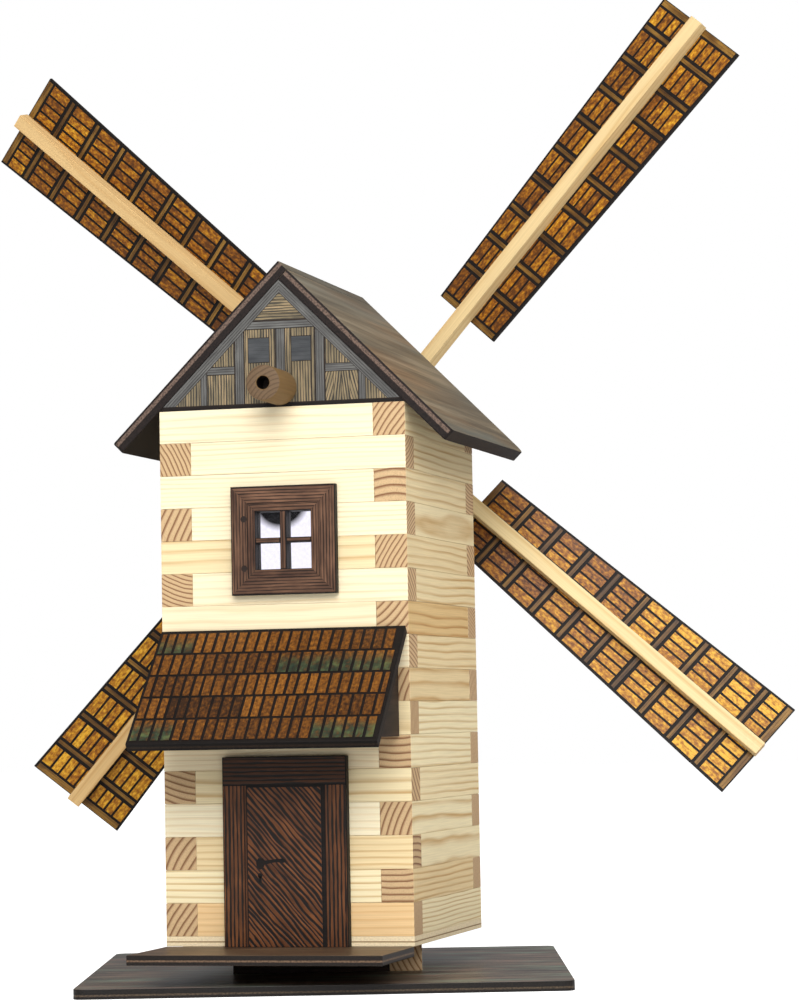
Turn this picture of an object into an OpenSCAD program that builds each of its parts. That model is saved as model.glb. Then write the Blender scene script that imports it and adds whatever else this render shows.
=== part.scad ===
// A wooden model windmill: a log tower that turns on a post, with a ply roof and four sails
// that turn on an axle running through the roof space.
// The tower's axes are X (across the front), Y (front to back) and Z (up). The door faces -Y.
// The origin is on the axis the tower turns about, level with the base board's underside.

/* [Tower] */
// Width of the log tower across its front
tower_w = 78; // [70:1:100]
// Depth of the log tower from front to back
tower_d = 84; // [70:1:110]
// Height of one course of logs
log_h = 10; // [8:0.5:12]
// Width of a log across the wall
log_w = 10; // [8:0.5:12]
// Thickness of the floor board under the logs
floor_t = 3; // [2:0.5:5]

/* [Base and turntable] */
// Side of the square base board
base_side = 147; // [140:1:200]
// Thickness of the base board
base_t = 3; // [2:0.5:6]
// Corner radius of the base board
base_corner = 3; // [1:0.5:8]
// How far the base board is turned against the tower, in degrees
base_turn = 15; // [0:0.5:45]
// How far the base board's middle lies behind the post, under the weight of the sails
base_back = 5.5; // [0:0.5:12]
// Height of the foot blocks between base board and floor board
foot_h = 9.5; // [6:0.5:14]
// Width of a foot block
foot_block_w = 10; // [6:0.5:12]
// How far the foot stands in from the tower's side walls
foot_inset_side = 10; // [5:1:15]
// How far the foot stands in from the tower's front and back walls
foot_inset_front = 22; // [16:1:24]
// Diameter of the post the tower turns on
post_d = 10; // [6:0.5:12]
// Outside diameter of the ring that keeps the tower on its post
ring_d = 24; // [18:1:30]
// Thickness of that ring
ring_t = 4; // [2:0.5:6]

/* [Roof] */
// Slope of the roof, in degrees
roof_pitch = 45; // [35:1:50]
// Thickness of the roof boards
roof_t = 4; // [2:0.5:6]
// Length of each roof slope on its outer face, from ridge to eave
roof_slope = 76.5; // [72:0.5:95]
// How far the roof stands out in front of the front wall
roof_front = 0.5; // [0:0.5:6]
// How far the roof stands out behind the back wall
roof_back = 10; // [0:0.5:16]
// Thickness of the gable boards
gable_t = 3; // [2:0.5:6]

/* [Front] */
// Width of the door board
door_w = 39; // [30:1:44]
// Height of the door board above the floor board's underside
door_h = 57; // [40:1:62]
// Thickness of the door board, window frame, porch boards and brackets
trim_t = 3; // [2:0.5:4]
// Side of the square window frame
window_side = 33; // [26:1:38]
// Width of the window frame's border
window_border = 7.7; // [5:0.1:9]
// Width of the upright bar between the panes
mullion_w = 2; // [1.5:0.1:3]
// Height of the level bar between the panes
transom_h = 1.5; // [1:0.1:3]
// Thickness of the pane film behind the frame
pane_t = 0.4; // [0.2:0.1:1]
// Height of the window's middle above the floor board
window_z = 119.3; // [112:0.1:124]
// How far the window sits right of the middle
window_x = 1; // [-3:0.5:3]
// How far the porch board stands out in front of the wall
porch_out = 36; // [25:1:50]
// How far the porch board runs in under the floor board
porch_under = 4.8; // [3:0.1:8]
// Length of the porch roof board down its slope
porch_roof_slope = 48; // [40:1:54]
// Width of the porch roof board
porch_roof_w = 77; // [60:1:84]
// Height above the floor board where the porch roof's underside meets the wall
porch_roof_z = 90.5; // [84:0.5:94]
// How far the brackets stand in from the porch roof's ends
bracket_inset = 3; // [1:0.5:8]
// Height of a porch bracket
bracket_h = 31; // [20:1:32]

/* [Sails] */
// Diameter of the axle dowel
axle_d = 4; // [3:0.5:6]
// Height of the axle above the top of the logs
axle_rise = 5.7; // [5.6:0.1:9]
// Diameter of the front knob and the rear spacer
knob_d = 10.7; // [9:0.1:11]
// Length of the front knob
knob_len = 17.5; // [12:0.5:25]
// Depth of the open socket in the knob's front end
socket_depth = 6.5; // [3:0.5:9]
// Distance from the back wall to the middle of the spars
sail_standoff = 30; // [28:0.5:40]
// Side of the square sail hub
hub_side = 26; // [22:1:32]
// Thickness of the sail hub along the axle
hub_t = 12; // [9:0.5:14]
// Depth of the spar sockets in the hub
spar_socket = 8; // [4:0.5:8.5]
// Side of the square spars
spar_side = 4.8; // [4:0.1:5.5]
// Distance from the axle to a spar's outer end
spar_reach = 169.5; // [150:0.5:172]
// Distance from the axle to a sail board's inner end
board_start = 44.5; // [40:0.5:60]
// Distance from the axle to a sail board's outer end
board_end = 169; // [140:0.5:171]
// Width of a sail board at its inner end
board_w_in = 27.4; // [20:0.1:32]
// Width of a sail board at its outer end
board_w_out = 36.4; // [28:0.1:42]
// Thickness of the sail boards
board_t = 1.5; // [1:0.1:3]
// Turn of each sail about its own spar, in degrees
sail_pitch = 17; // [0:1:20]
// Angle of the first spar above level, in degrees
sail_angle = 48.7; // [0:0.1:89]
// How far the line of the second and fourth spars passes beside the axle, on the third spar's side
spar_offset = 2; // [0:0.1:3]

/* [Fits] */
// Radial gap where a dowel turns in a board
running_gap = 0.08; // [0.05:0.01:0.1]
// Radial gap round a loose dowel of the axle's size in the knob's front socket
socket_gap = 0.04; // [0.02:0.01:0.1]
// Gap between the foot's sticks and the post, where they come close to it
foot_post_gap = 0.5; // [0.2:0.1:1]
// Clear distance kept between the foot's turning corners and the porch board
porch_clear = 1.9; // [1:0.1:3]
// Gap left along an axis between faces that turn against each other
end_gap = 0.3; // [0.2:0.05:0.6]

/* [Hidden] */
$fn = 64;
courses = 16;
sails = 4;
overcut = 1;

floor_z = base_t + foot_h;
logs_z = floor_z + floor_t;
logs_top = logs_z + courses * log_h;
peak_z = logs_top + tower_w / 2 * tan(roof_pitch);
axle_z = logs_top + axle_rise;
front_y = -tower_d / 2;
back_y = tower_d / 2;
foot_w = tower_w - 2 * foot_inset_side;
foot_d = tower_d - 2 * foot_inset_front;
// Radius of the foot's corners about the post, which the porch board passes when the tower turns
foot_reach = norm([foot_w, foot_d]) / 2;
// Square cut-outs at the porch board's back corners
porch_notch = 5;
porch_notch_gap = 0.5;
// How deep the pane film sits in a recess in the window frame's back
pane_margin = 2;
sail_y = back_y + sail_standoff;
hub_front = sail_y - hub_t / 2;
hub_back = sail_y + hub_t / 2;
knob_front = front_y - end_gap - knob_len;
// Solid wood left between the knob's front socket and the axle's end
socket_web = 1.5;
axle_start = knob_front + socket_depth + socket_web;

function two_digits(i) = str(i < 10 ? "0" : "", i);
function course_name(i) = str("log_course_", two_digits(i));
function spar_name(i) = str("sail_spar_", i);
function board_name(i) = str("sail_board_", i);

// A dowel, or the hole for one, lying along +Y from the origin
module along_y(r, length) {
    rotate([-90, 0, 0])
        cylinder(r = r, h = length);
}

// A flat board with rounded corners, centred on the origin and standing on z = 0
module rounded_board(w, d, t, r) {
    union() {
        translate([-w / 2 + r, -d / 2, 0])
            cube([w - 2 * r, d, t]);
        translate([-w / 2, -d / 2 + r, 0])
            cube([w, d - 2 * r, t]);
        for (sx = [-1, 1], sy = [-1, 1])
            translate([sx * (w / 2 - r), sy * (d / 2 - r), 0])
                cylinder(r = r, h = t);
    }
}

// One of four sticks laid end to side in a ring: 0 front, 1 right, 2 back, 3 left.
// The ring is w by d outside, and the sticks are sw wide and h high.
module ring_stick(i, w, d, sw, h) {
    corners = [[-w / 2, -d / 2], [w / 2 - sw, -d / 2], [-w / 2 + sw, d / 2 - sw], [-w / 2, -d / 2 + sw]];
    translate([corners[i][0], corners[i][1], 0])
        cube(i % 2 == 0 ? [w - sw, sw, h] : [sw, d - sw, h]);
}

// The whole ring of four, glued where the sticks meet
module stick_ring(w, d, sw, h) {
    for (i = [0:3])
        ring_stick(i, w, d, sw, h);
}

// Turned to the way the base board lies under the tower
module on_base() {
    rotate([0, 0, base_turn])
        children();
}

module base_board() {
    color("#4a4037")
        on_base()
            difference() {
                translate([0, base_back, 0])
                    rounded_board(base_side, base_side, base_t, base_corner);
                translate([0, 0, -overcut])
                    cylinder(d = post_d, h = base_t + 2 * overcut);
            }
}

// Each stick is cut back where it would come nearer to the post than the gap
module foot_frame() {
    color("#dcb888")
        on_base()
            translate([0, 0, base_t])
                for (i = [0:3])
                    difference() {
                        ring_stick(i, foot_w, foot_d, foot_block_w, foot_h);
                        translate([0, 0, -overcut])
                            cylinder(r = post_d / 2 + foot_post_gap, h = foot_h + 2 * overcut);
                    }
}

// Glued into the base board, it stands through the floor board and carries the ring
module swivel_post() {
    color("#dcb888")
        cylinder(d = post_d, h = logs_z + end_gap + ring_t);
}

module retaining_ring() {
    color("#dcb888")
        translate([0, 0, logs_z + end_gap])
            difference() {
                cylinder(d = ring_d, h = ring_t);
                translate([0, 0, -overcut])
                    cylinder(d = post_d, h = ring_t + 2 * overcut);
            }
}

module floor_board() {
    color("#e8d3a6")
        translate([0, 0, floor_z])
            difference() {
                translate([-tower_w / 2, -tower_d / 2, 0])
                    cube([tower_w, tower_d, floor_t]);
                translate([0, 0, -overcut])
                    cylinder(r = post_d / 2 + running_gap, h = floor_t + 2 * overcut);
            }
}

// Course i counts up from the floor. Odd courses are the even ones mirrored,
// so that the logs' ends show at alternate corners.
module log_course(i) {
    color(i % 2 == 0 ? "#f0dcb0" : "#e4c694")
        translate([0, 0, logs_z + (i - 1) * log_h])
            mirror([i % 2, 0, 0])
                stick_ring(tower_w, tower_d, log_w, log_h);
}

// A gable's outline stands on the top course and meets the roof's underside
module gable(y) {
    translate([0, y, 0])
        difference() {
            translate([0, gable_t, 0])
                rotate([90, 0, 0])
                    linear_extrude(gable_t)
                        polygon([[-tower_w / 2, logs_top], [tower_w / 2, logs_top], [0, peak_z]]);
            translate([0, -overcut, axle_z])
                along_y(axle_d / 2 + running_gap, gable_t + 2 * overcut);
        }
}

module front_gable() {
    color("#5d6263")
        gable(front_y);
}

module rear_gable() {
    color("#5d6263")
        gable(back_y - gable_t);
}

// Extrudes a profile drawn in X and Z along the roof's length
module along_roof() {
    translate([0, back_y + roof_back, 0])
        rotate([90, 0, 0])
            linear_extrude(tower_d + roof_front + roof_back)
                children();
}

// The left board runs up past the ridge and covers the right board's top edge.
// Both are drawn for the right-hand slope, from these three points on the ridge.
ridge_in = [0, peak_z];
ridge_out = [0, peak_z + roof_t / cos(roof_pitch)];
lap = roof_t / sin(2 * roof_pitch);
down_slope = [cos(roof_pitch), -sin(roof_pitch)];
inward = [-sin(roof_pitch), -cos(roof_pitch)];
eave_out = ridge_out + roof_slope * down_slope;
eave_in = eave_out + roof_t * inward;
// Where the left board's underside comes out through the right board's outer face
lap_end = ridge_in + lap * [cos(roof_pitch), sin(roof_pitch)];

function flip(p) = [-p[0], p[1]];

module roof_board_left() {
    color("#6b6355")
        along_roof()
            polygon([ridge_out, lap_end, ridge_in, flip(eave_in), flip(eave_out)]);
}

module roof_board_right() {
    color("#6b6355")
        along_roof()
            polygon([ridge_in, lap_end, eave_out, eave_in]);
}

module door_board() {
    color("#3b241a")
        translate([-door_w / 2, front_y - trim_t, floor_z])
            cube([door_w, trim_t, door_h]);
}

// Places its children with the window's middle at the origin, on the front wall
module at_window() {
    translate([window_x, front_y, logs_z + window_z])
        children();
}

module window_frame() {
    opening = window_side - 2 * window_border;
    light_w = (opening - mullion_w) / 2;
    light_h = (opening - transom_h) / 2;
    recess = opening + 2 * pane_margin;
    color("#4b2c1f")
        at_window()
            difference() {
                translate([-window_side / 2, -trim_t, -window_side / 2])
                    cube([window_side, trim_t, window_side]);
                for (sx = [-1, 1], sz = [-1, 1])
                    translate([sx * (mullion_w + light_w) / 2, 0, sz * (transom_h + light_h) / 2])
                        cube([light_w, 2 * trim_t + overcut, light_h], center = true);
                translate([-recess / 2, -pane_t, -recess / 2])
                    cube([recess, pane_t + overcut, recess]);
            }
}

module window_pane() {
    side = window_side - 2 * window_border + 2 * pane_margin;
    color("#e6e3f0")
        at_window()
            translate([-side / 2, -pane_t, -side / 2])
                cube([side, pane_t, side]);
}

// The porch board runs in under the floor board. It turns round the foot with the tower,
// so an arc is cut from its back edge where the foot's corners would pass through it.
module porch_board() {
    color("#4a4037")
        translate([0, 0, floor_z - trim_t])
            difference() {
                translate([0, front_y, 0])
                    union() {
                        translate([-tower_w / 2, -porch_out, 0])
                            cube([tower_w, porch_out - porch_notch_gap, trim_t]);
                        translate([-tower_w / 2 + porch_notch, -porch_notch_gap - overcut, 0])
                            cube([tower_w - 2 * porch_notch, porch_notch_gap + overcut + porch_under, trim_t]);
                    }
                translate([0, 0, -overcut])
                    cylinder(r = foot_reach + porch_clear, h = trim_t + 2 * overcut);
            }
}

porch_pitch = 45;

module porch_roof() {
    color("#6e3d1c")
        translate([-porch_roof_w / 2, front_y, logs_z + porch_roof_z])
            rotate([porch_pitch, 0, 0])
                translate([0, -porch_roof_slope, 0])
                    cube([porch_roof_w, porch_roof_slope, trim_t]);
}

// A three-cornered bracket against the wall, its left face at x
module porch_bracket(x) {
    top = logs_z + porch_roof_z;
    out = bracket_h / tan(porch_pitch);
    color("#33261f")
        translate([x, 0, 0])
            rotate([90, 0, 90])
                linear_extrude(trim_t)
                    polygon([[front_y, top], [front_y - out, top - bracket_h], [front_y, top - bracket_h]]);
}

module porch_bracket_left() {
    porch_bracket(-porch_roof_w / 2 + bracket_inset);
}

module porch_bracket_right() {
    porch_bracket(porch_roof_w / 2 - bracket_inset - trim_t);
}

module sail_axle() {
    color("#d9b988")
        translate([0, axle_start, axle_z])
            along_y(axle_d / 2, hub_back - axle_start);
}

// A length of dowel drilled from the front for a loose dowel and from the back for the axle
module front_knob() {
    color("#8a6238")
        difference() {
            translate([0, knob_front, axle_z])
                along_y(knob_d / 2, knob_len);
            translate([0, knob_front - overcut, axle_z])
                along_y(axle_d / 2 + socket_gap, socket_depth + overcut);
            translate([0, axle_start, axle_z])
                along_y(axle_d / 2, knob_len);
        }
}

// A sleeve on the axle that holds the hub away from the back wall
module rear_spacer() {
    spacer_y = back_y + end_gap;
    spacer_len = hub_front - spacer_y;
    color("#8a6238")
        translate([0, spacer_y, axle_z])
            difference() {
                along_y(knob_d / 2, spacer_len);
                translate([0, -overcut, 0])
                    along_y(axle_d / 2, spacer_len + 2 * overcut);
            }
}

// How far spar i stands beside its own line through the axle, along its local Z
function spar_shift(i) = i == 2 ? spar_offset : i == 4 ? -spar_offset : 0;

// Turns its children to spar i: +X out along the spar, +Y away from the tower
module at_spar(i) {
    translate([0, sail_y, axle_z])
        rotate([0, -sail_angle - (i - 1) * 360 / sails, 0])
            translate([0, 0, spar_shift(i)])
                rotate([-sail_pitch, 0, 0])
                    children();
}

module spar_solid(from, to) {
    translate([from, -spar_side / 2, -spar_side / 2])
        cube([to - from, spar_side, spar_side]);
}

spar_start = hub_side / 2 - spar_socket;

module sail_hub() {
    color("#d9b988")
        difference() {
            translate([0, hub_front, axle_z])
                rotate([0, -sail_angle, 0])
                    translate([-hub_side / 2, 0, -hub_side / 2])
                        cube([hub_side, hub_t, hub_side]);
            translate([0, hub_front - overcut, axle_z])
                along_y(axle_d / 2, hub_t + 2 * overcut);
            for (i = [1:sails])
                at_spar(i)
                    spar_solid(spar_start, hub_side / 2 + overcut);
        }
}

module sail_spar(i) {
    color("#ecd9a8")
        at_spar(i)
            spar_solid(spar_start, spar_reach);
}

module sail_board(i) {
    color("#b9782c")
        at_spar(i)
            translate([0, spar_side / 2 + board_t, 0])
                rotate([90, 0, 0])
                    linear_extrude(board_t)
                        polygon([
                            [board_start, -board_w_in / 2],
                            [board_end, -board_w_out / 2],
                            [board_end, board_w_out / 2],
                            [board_start, board_w_in / 2]
                        ]);
}

base_board();
foot_frame();
swivel_post();
retaining_ring();
floor_board();
for (i = [1:courses])
    log_course(i);
front_gable();
rear_gable();
roof_board_left();
roof_board_right();
door_board();
window_frame();
window_pane();
porch_board();
porch_roof();
porch_bracket_left();
porch_bracket_right();
sail_axle();
front_knob();
rear_spacer();
sail_hub();
for (i = [1:sails]) {
    sail_spar(i);
    sail_board(i);
}
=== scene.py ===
# %% [markdown]
# # A wooden model windmill
# The model is glued up from pine strip and thin plywood, and the drawing on its boards is burnt
# in with a hot tool and then stained. The frame gives every piece's exact place. This lesson
# builds a finer piece over each one and gives it the wood it is made of.

# %% Load the frame
import math
import random

import bmesh
import bpy
from mathutils import Matrix, Vector


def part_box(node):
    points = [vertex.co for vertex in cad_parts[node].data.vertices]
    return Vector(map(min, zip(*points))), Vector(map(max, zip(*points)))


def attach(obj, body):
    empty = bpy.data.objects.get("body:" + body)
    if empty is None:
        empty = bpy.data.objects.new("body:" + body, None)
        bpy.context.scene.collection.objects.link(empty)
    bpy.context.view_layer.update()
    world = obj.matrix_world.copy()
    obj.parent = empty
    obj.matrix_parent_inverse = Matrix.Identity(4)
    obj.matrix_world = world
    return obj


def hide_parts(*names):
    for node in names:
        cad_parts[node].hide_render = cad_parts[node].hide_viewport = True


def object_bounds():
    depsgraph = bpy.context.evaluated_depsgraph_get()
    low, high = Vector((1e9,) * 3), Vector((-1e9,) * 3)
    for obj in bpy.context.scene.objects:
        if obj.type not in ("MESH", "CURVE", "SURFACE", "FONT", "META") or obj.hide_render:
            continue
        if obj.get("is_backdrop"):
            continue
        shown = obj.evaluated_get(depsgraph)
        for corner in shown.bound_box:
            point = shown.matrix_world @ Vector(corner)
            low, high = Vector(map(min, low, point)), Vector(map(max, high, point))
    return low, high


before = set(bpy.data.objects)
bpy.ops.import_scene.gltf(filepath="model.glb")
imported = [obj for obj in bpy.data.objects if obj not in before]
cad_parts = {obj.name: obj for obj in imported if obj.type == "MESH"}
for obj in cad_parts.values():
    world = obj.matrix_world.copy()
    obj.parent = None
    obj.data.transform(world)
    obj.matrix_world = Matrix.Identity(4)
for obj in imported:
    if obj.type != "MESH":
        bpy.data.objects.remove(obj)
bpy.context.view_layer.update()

MM = 0.001

# %% [markdown]
# ## Camera
# A long lens from about a metre away keeps the tower's edges almost parallel. The camera stands
# a little to the right of the door and looks very slightly upward, so the undersides of the
# eaves show. It is also tipped by one degree, as a hand-set tripod is.

# %% Place the camera
CAMERA_YAW = math.radians(15.1)
CAMERA_PITCH = math.radians(3.78)
CAMERA_ROLL = math.radians(-1.07)
CAMERA_PLACE = Vector((0.2925, -0.9894, 0.0809))
CAMERA_LENS = 117.88

looking = Vector((-math.sin(CAMERA_YAW) * math.cos(CAMERA_PITCH),
                  math.cos(CAMERA_YAW) * math.cos(CAMERA_PITCH), math.sin(CAMERA_PITCH)))
level_right = Vector((math.cos(CAMERA_YAW), math.sin(CAMERA_YAW), 0))
level_up = level_right.cross(looking)
right = level_right * math.cos(CAMERA_ROLL) + level_up * math.sin(CAMERA_ROLL)
up = level_up * math.cos(CAMERA_ROLL) - level_right * math.sin(CAMERA_ROLL)

camera_data = bpy.data.cameras.new("camera")
camera_data.lens = CAMERA_LENS
camera = bpy.data.objects.new("camera", camera_data)
bpy.context.scene.collection.objects.link(camera)
turn = Matrix((right, up, -looking)).transposed()
camera.matrix_world = Matrix.Translation(CAMERA_PLACE) @ turn.to_4x4()
bpy.context.scene.camera = camera
bpy.context.scene.view_settings.view_transform = "Standard"
print("camera distance in mm:", round(CAMERA_PLACE.length / MM))

# %% [markdown]
# ## Colours and nodes
# Colours are written as sRGB hex, as a paint chart gives them, and Blender wants linear light,
# so one function converts them. One more function adds a shader node, sets it up and wires it.
# Everything below is made with these two.

# %% Colour and node helpers
def linear(hex_colour):
    channels = [int(hex_colour[i:i + 2], 16) / 255 for i in (1, 3, 5)]
    return tuple(c / 12.92 if c <= 0.04045 else ((c + 0.055) / 1.055) ** 2.4
                 for c in channels) + (1.0,)


def add(tree, kind, inputs=None, stops=None, **settings):
    """Adds a node. Inputs are sockets to link or plain values; stops fill a colour ramp."""
    made = tree.nodes.new(kind)
    for name, value in settings.items():
        setattr(made, name, value)
    for name, value in (inputs or {}).items():
        if isinstance(value, bpy.types.NodeSocket):
            tree.links.new(value, made.inputs[name])
        else:
            made.inputs[name].default_value = value
    if stops:
        ramp = made.color_ramp.elements
        while len(ramp) < len(stops):
            ramp.new(1.0)
        for element, (position, colour) in zip(ramp, stops):
            element.position = position
            element.color = linear(colour)
    return made


print("cream in linear light:", [round(c, 3) for c in linear("#F6EACB")[:3]])

# %% [markdown]
# ## Light, floor and backdrop
# A product table: a wide soft box above and in front does most of the work and throws the
# eaves' soft shadows down the walls. A second one on the right lights the side wall, and a
# weak glow from all round fills in. The room behind the camera is white with one dark
# doorway, which only mirrors can show. The table is lit from within, as a light table is,
# so it reads as white as the surround.

# %% Studio
def soft_box(name, place, aim, side, power):
    data = bpy.data.lights.new(name, "AREA")
    data.shape = "SQUARE"
    data.size = side
    data.energy = power
    lamp = bpy.data.objects.new(name, data)
    bpy.context.scene.collection.objects.link(lamp)
    lamp.location = place
    lamp.rotation_mode = "QUATERNION"
    lamp.rotation_quaternion = (Vector(aim) - Vector(place)).to_track_quat("-Z", "Y")


MIDDLE = (0, 0, 0.13)
soft_box("key_box", (0.34, -1.60, 1.10), MIDDLE, 1.2, 35.0)
soft_box("side_box", (1.3, -0.7, 0.9), MIDDLE, 0.6, 7.5)

world = bpy.data.worlds.new("studio")
bpy.context.scene.world = world
world.use_nodes = True
sky = world.node_tree
sky.nodes.clear()
glow = add(sky, "ShaderNodeBackground", {"Color": linear("#F6F7FA"), "Strength": 0.36})
plain = add(sky, "ShaderNodeBackground", {"Color": linear("#FFFFFF"), "Strength": 1.0})
seen = add(sky, "ShaderNodeLightPath")
either = add(sky, "ShaderNodeMixShader",
             {0: seen.outputs["Is Camera Ray"], 1: glow.outputs[0], 2: plain.outputs[0]})
DOORWAY = Vector((-0.302, -0.95, 0.121)).normalized()
direction = add(sky, "ShaderNodeTexCoord")
away = add(sky, "ShaderNodeVectorMath", {0: direction.outputs["Generated"], 1: DOORWAY},
           operation="DISTANCE")
opening = add(sky, "ShaderNodeMapRange",
              {"Value": away.outputs["Value"], "From Min": 0.040, "From Max": 0.052,
               "To Min": 0.01, "To Max": 1.36})
mirrored_room = add(sky, "ShaderNodeBackground",
                    {"Color": linear("#F4F3FA"), "Strength": opening.outputs[0]})
room = add(sky, "ShaderNodeMixShader",
           {0: seen.outputs["Is Singular Ray"], 1: either.outputs[0],
            2: mirrored_room.outputs[0]})
add(sky, "ShaderNodeOutputWorld", {"Surface": room.outputs[0]})

FLOOR_SIDE = 8.0
floor_mesh = bpy.data.meshes.new("floor")
half = FLOOR_SIDE / 2
floor_mesh.from_pydata([(-half, -half, 0), (half, -half, 0), (half, half, 0), (-half, half, 0)],
                       [], [(0, 1, 2, 3)])
floor = bpy.data.objects.new("floor", floor_mesh)
bpy.context.scene.collection.objects.link(floor)
floor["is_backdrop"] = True
floor_paint = bpy.data.materials.new("matt_white_table")
floor_paint.use_nodes = True
table = floor_paint.node_tree
table.nodes.clear()
top_side = add(table, "ShaderNodeLightPath")
lit = add(table, "ShaderNodeMath", {0: top_side.outputs["Is Camera Ray"], 1: 0.8},
          operation="MULTIPLY")
top_skin = add(table, "ShaderNodeBsdfPrincipled",
               {"Base Color": linear("#F7F7F6"), "Roughness": 0.9,
                "Emission Color": linear("#FFFFFF"), "Emission Strength": lit.outputs[0]})
add(table, "ShaderNodeOutputMaterial", {"Surface": top_skin.outputs[0]})
floor_mesh.materials.append(floor_paint)

# %% [markdown]
# ## How a piece carries its grain
# Wood looks right when its pattern runs through the piece: lines along the faces, rings on the
# ends. So each solid is built in its own small space, in millimetres, with X along the fibres,
# and every corner of every face remembers where it lay there. Five attributes go to the mesh:
# - grain: that place, turned and shifted so that no two sticks are cut from the same spot
# - layer: the height through a board, from 0 to 1, which draws the plies on its edges
# - edge: 1 on end grain and on board edges
# - tint and moss: a number for a piece's own shade, and for green growth

# %% Mesh helpers
random.seed(16)


def new_piece():
    made = bmesh.new()
    made.loops.layers.float_vector.new("grain")
    made.loops.layers.float.new("layer")
    made.loops.layers.float.new("moss")
    made.faces.layers.float.new("edge")
    made.faces.layers.float.new("tint")
    return made


def merge(target, solid, place, grain, slot, tint, board, moss, smooth=False,
          plain_sides=False):
    """Copies one closed solid, still in its own millimetres, into the piece."""
    bmesh.ops.recalc_face_normals(solid, faces=solid.faces)
    loops, faces = target.loops.layers, target.faces.layers
    corners = {v: target.verts.new(place @ v.co) for v in solid.verts}
    heights = [v.co.z for v in solid.verts]
    low, thick = min(heights), max(heights) - min(heights)
    for old in solid.faces:
        face = target.faces.new([corners[v] for v in old.verts])
        face.material_index = slot
        face.smooth = smooth
        if board:
            face[faces.float["edge"]] = float(abs(old.normal.z) < 0.6)
        else:
            face[faces.float["edge"]] = float(abs(old.normal.x) > 0.8)
        face[faces.float["tint"]] = tint
        one_ply = plain_sides and abs(old.normal.y) > 0.5
        worn = one_ply and old.normal.y < 0
        if worn:
            face[faces.float["edge"]] = 0.35
        for new, was in zip(face.loops, old.loops):
            new[loops.float_vector["grain"]] = grain @ was.vert.co
            height = float(worn) if one_ply else (was.vert.co.z - low) / thick
            new[loops.float["layer"]] = height
            new[loops.float["moss"]] = moss(was.vert.co) if moss else 0.0
    if smooth:
        target.normal_update()
        for edge in target.edges:
            if len(edge.link_faces) == 2 and edge.calc_face_angle(0) > math.radians(35):
                edge.smooth = False
    solid.free()


def ease(solid, width, steps=2):
    """Takes the sharpness off a solid's edges, as sandpaper does."""
    sharp = [e for e in solid.edges if e.calc_face_angle(0) > math.radians(30)]
    bmesh.ops.bevel(solid, geom=sharp, offset=width, segments=steps, profile=0.6,
                    affect="EDGES", clamp_overlap=True)


def sawn_grain(ring_scale=1.0, pith=(26, 60), lean=None):
    """Where in the tree a stick was cut: its distance and turn from the pith."""
    angle = random.uniform(0, 2 * math.pi) if lean is None else lean
    away = Matrix.Translation((random.uniform(0, 400), 0, random.uniform(*pith)))
    scale = Matrix.Diagonal((1, ring_scale, ring_scale, 1))
    return scale @ away @ Matrix.Rotation(angle, 4, "X")


def board_grain(turn_degrees=0.0):
    """Lays a board's pattern at an angle, at a random place in the sheet."""
    shift = Matrix.Translation((random.uniform(0, 300), random.uniform(0, 300), 0))
    return shift @ Matrix.Rotation(-math.radians(turn_degrees), 4, "Z")


def stick(target, size, place, grain, slot=0, tint=0.0, ease_by=0.2):
    """A rectangular stick or strip, centred on its own origin."""
    solid = bmesh.new()
    bmesh.ops.create_cube(solid, size=1.0, matrix=Matrix.Diagonal((*size, 1)))
    bmesh.ops.recalc_face_normals(solid, faces=solid.faces)
    if ease_by:
        ease(solid, ease_by)
    merge(target, solid, place, grain, slot, tint, False, None)


def slab(target, outline, low, high, place, grain, slot=0, tint=0.0, ease_by=0.0, moss=None,
         hole=None, plain_sides=False):
    """A flat board: an outline in X and Y, from one height to another, with a round hole."""
    solid = bmesh.new()
    rings = [outline] + ([hole] if hole else [])
    rim = []
    for ring in rings:
        points = [solid.verts.new((x, y, low)) for x, y in ring]
        rim += [solid.edges.new((a, b)) for a, b in zip(points, points[1:] + points[:1])]
    if hole:
        bmesh.ops.triangle_fill(solid, edges=rim, use_beauty=True)
    else:
        solid.faces.new(solid.verts)
    grown = bmesh.ops.extrude_face_region(solid, geom=list(solid.faces))
    lifted = [v for v in grown["geom"] if isinstance(v, bmesh.types.BMVert)]
    bmesh.ops.translate(solid, verts=lifted, vec=(0, 0, high - low))
    bmesh.ops.recalc_face_normals(solid, faces=solid.faces)
    if ease_by:
        ease(solid, ease_by)
    merge(target, solid, place, grain, slot, tint, True, moss, plain_sides=plain_sides)


TURNED_STEPS = 56


def turned(target, profile, place, grain, tint=0.0):
    """A piece of dowel: a profile of (distance along X, radius) spun round X."""
    solid = bmesh.new()
    previous = None
    for x, radius in profile:
        if radius == 0:
            ring = [solid.verts.new((x, 0, 0))]
        else:
            ring = [solid.verts.new((x, radius * math.cos(a), radius * math.sin(a)))
                    for a in (2 * math.pi * i / TURNED_STEPS for i in range(TURNED_STEPS))]
        if previous:
            for i in range(TURNED_STEPS):
                j = (i + 1) % TURNED_STEPS
                quad = [previous[i % len(previous)], previous[j % len(previous)],
                        ring[j % len(ring)], ring[i % len(ring)]]
                solid.faces.new(list(dict.fromkeys(quad)))
        previous = ring
    merge(target, solid, place, grain, 0, tint, False, None, smooth=True)


def finish_piece(made, name, materials, body, slot_name, *nodes):
    """Turns the built mesh into an object that rides on its body and stands for its nodes."""
    mesh = bpy.data.meshes.new(name)
    made.to_mesh(mesh)
    made.free()
    for material in materials:
        mesh.materials.append(material)
    piece = bpy.data.objects.new(name, mesh)
    bpy.context.scene.collection.objects.link(piece)
    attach(piece, body)
    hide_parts(*nodes)


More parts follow.
